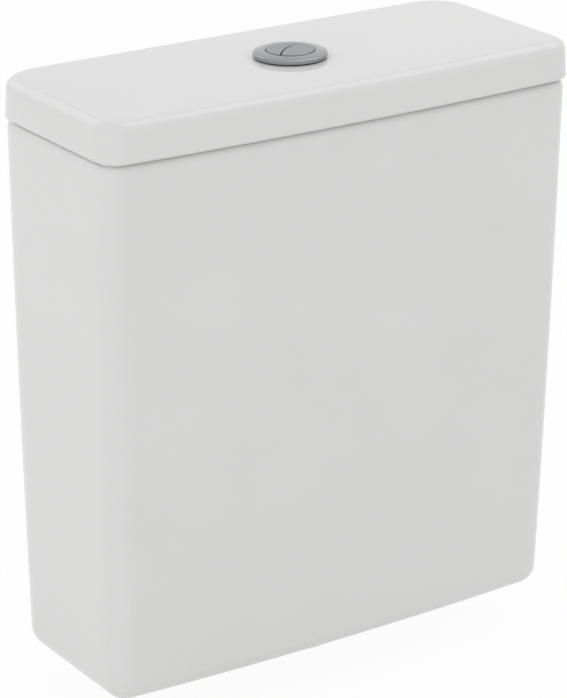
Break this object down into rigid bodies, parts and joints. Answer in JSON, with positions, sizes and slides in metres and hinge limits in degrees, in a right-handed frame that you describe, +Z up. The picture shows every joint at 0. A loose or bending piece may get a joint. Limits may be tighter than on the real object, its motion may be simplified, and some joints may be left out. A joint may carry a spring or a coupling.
{
  "type": "toilet cistern",
  "caption": "White ceramic close-coupled toilet cistern with a lift-off lid, dual-flush push button, lever-worked flush valve and bottom-entry float fill valve.",
  "frame": {"origin": "on the axis of the flush outlet, in the plane of the tank foot, midway between the coupling bolts", "axes": "+Z up, +Y towards the wall behind, +X to the right of someone facing the wall"},
  "size_m": [0.365, 0.156, 0.4367],
  "materials": {
    "glazed_ceramic": "glossy",
    "satin_chrome": "satin",
    "white_plastic": "semi-gloss",
    "grey_plastic": "satin",
    "blue_plastic": "satin",
    "black_rubber": "matt",
    "grey_rubber": "matt",
    "brass": "turned",
    "steel": "bright"
  },
  "bodies": {
    "tank": {"tank": "glazed_ceramic", "lever_pin": "steel", "valve_base": "white_plastic", "valve_base_seal": "black_rubber", "valve_back_nut": "white_plastic", "coupling_gasket": "black_rubber", "valve_tower": "white_plastic", "valve_head": "grey_plastic", "fill_valve_shank": "brass", "fill_valve_seal": "black_rubber", "fill_valve_back_nut": "brass", "inlet_filter": "blue_plastic", "fill_riser": "white_plastic", "fill_valve_head": "grey_plastic", "fill_outlet_tube": "white_plastic", "fill_diaphragm": "grey_rubber", "fill_valve_cap": "blue_plastic", "float_lever_pin": "steel", "coupling_bolts": "brass", "bolt_seals": "black_rubber", "bolt_washers": "steel", "tank_nuts": "brass", "pan_washers": "steel", "wing_nuts": "brass"},
    "lid": {"lid": "glazed_ceramic", "bezel_washer": "black_rubber", "button_bezel": "satin_chrome", "nut_gasket": "black_rubber", "bezel_lock_nut": "white_plastic", "button_housing": "white_plastic", "full_button_spring": "steel", "half_button_spring": "steel"},
    "full_button": {"full_flush_button": "satin_chrome", "full_push_rod": "blue_plastic"},
    "half_button": {"half_flush_button": "satin_chrome", "half_push_rod": "white_plastic"},
    "full_lever": {"full_flush_lever": "blue_plastic"},
    "half_lever": {"half_flush_lever": "white_plastic"},
    "flush_stem": {"overflow_tube": "white_plastic", "valve_seal": "grey_rubber", "seal_retainer": "blue_plastic", "full_flush_float": "grey_plastic"},
    "half_stem": {"half_flush_rod": "white_plastic", "half_flush_float": "grey_plastic"},
    "fill_float": {"fill_float": "grey_plastic", "float_link": "steel"},
    "float_lever": {"float_lever": "white_plastic"}
  },
  "joints": [
    {"name": "lid_lift", "type": "slide", "parent": "tank", "child": "lid", "axis": [0, 0, 1], "range_m": [0, 0.1]},
    {"name": "full_button_press", "type": "slide", "parent": "lid", "child": "full_button", "axis": [0, 0, -1], "range_m": [0, 0.007], "stiffness_N_per_m": 400, "springref_m": -0.005, "deforming": ["full_button_spring"]},
    {"name": "half_button_press", "type": "slide", "parent": "lid", "child": "half_button", "axis": [0, 0, -1], "range_m": [0, 0.007], "stiffness_N_per_m": 400, "springref_m": -0.005, "deforming": ["half_button_spring"]},
    {"name": "full_lever_turn", "type": "hinge", "parent": "tank", "child": "full_lever", "pos_m": [0, 0, 0.334], "axis": [0.829, 0.5592, 0], "range_deg": [0, 41.85]},
    {"name": "half_lever_turn", "type": "hinge", "parent": "tank", "child": "half_lever", "pos_m": [0, 0, 0.334], "axis": [-0.829, -0.5592, 0], "range_deg": [0, 41.85]},
    {"name": "flush_stem_lift", "type": "slide", "parent": "tank", "child": "flush_stem", "axis": [0, 0, 1], "range_m": [0, 0.015]},
    {"name": "half_stem_lift", "type": "slide", "parent": "tank", "child": "half_stem", "axis": [0, 0, 1], "range_m": [0, 0.015]},
    {"name": "float_rise", "type": "slide", "parent": "tank", "child": "fill_float", "axis": [0, 0, 1], "range_m": [0, 0.012]},
    {"name": "float_lever_turn", "type": "hinge", "parent": "tank", "child": "float_lever", "pos_m": [-0.118, 0, 0.317], "axis": [-1, 0, 0], "range_deg": [0, 21.7]}
  ],
  "couplings": [
    {"joint": "full_lever_turn", "follows": "full_button_press", "rad_per_m": 104.34},
    {"joint": "flush_stem_lift", "follows": "full_button_press", "ratio": 2.1429},
    {"joint": "half_lever_turn", "follows": "half_button_press", "rad_per_m": 104.34},
    {"joint": "half_stem_lift", "follows": "half_button_press", "ratio": 2.1429},
    {"joint": "float_lever_turn", "follows": "float_rise", "rad_per_m": 31.436}
  ]
}
